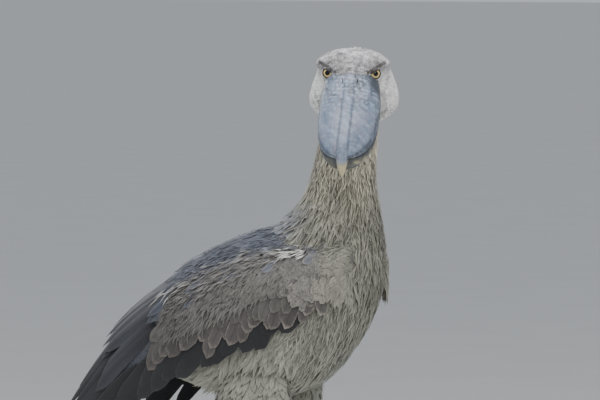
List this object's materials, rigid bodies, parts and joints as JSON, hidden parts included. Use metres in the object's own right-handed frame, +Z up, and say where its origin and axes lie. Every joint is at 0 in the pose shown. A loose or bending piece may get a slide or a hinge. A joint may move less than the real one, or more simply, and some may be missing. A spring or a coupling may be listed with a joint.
{
  "type": "shoebill",
  "caption": "Tall grey wading bird standing on long thin legs with folded wings, its head with a huge hooked bill turned over its right shoulder.",
  "frame": {"origin": "on the floor, in the middle of the outline seen from above", "axes": "+Z up, +X the way the body faces, -Y the bird's right side, to which the head is turned"},
  "size_m": [0.6854, 0.3724, 1.1707],
  "materials": {
    "plumage_grey": "soft grey body feathers",
    "plumage_slate": "slate grey flight feathers and coverts",
    "bill_horn": "blotched blue-grey horn, satin",
    "eye": "wet, pale yellow iris with a black pupil",
    "leg_skin": "dark scaled skin",
    "claw_horn": "dark horn"
  },
  "bodies": {
    "root": {"head": "plumage_grey", "neck": "plumage_grey", "torso": "plumage_grey", "thigh_left": "plumage_grey", "thigh_right": "plumage_grey", "wing_left": "plumage_slate", "wing_right": "plumage_slate", "tail": "plumage_slate", "bill_upper": "bill_horn", "bill_lower": "bill_horn", "eye_left": "eye", "eye_right": "eye", "shank_left": "leg_skin", "shank_right": "leg_skin", "foot_left": "leg_skin", "foot_right": "leg_skin", "claw_left_inner": "claw_horn", "claw_left_middle": "claw_horn", "claw_left_outer": "claw_horn", "claw_left_hind": "claw_horn", "claw_right_inner": "claw_horn", "claw_right_middle": "claw_horn", "claw_right_outer": "claw_horn", "claw_right_hind": "claw_horn"}
  },
  "joints": []
}
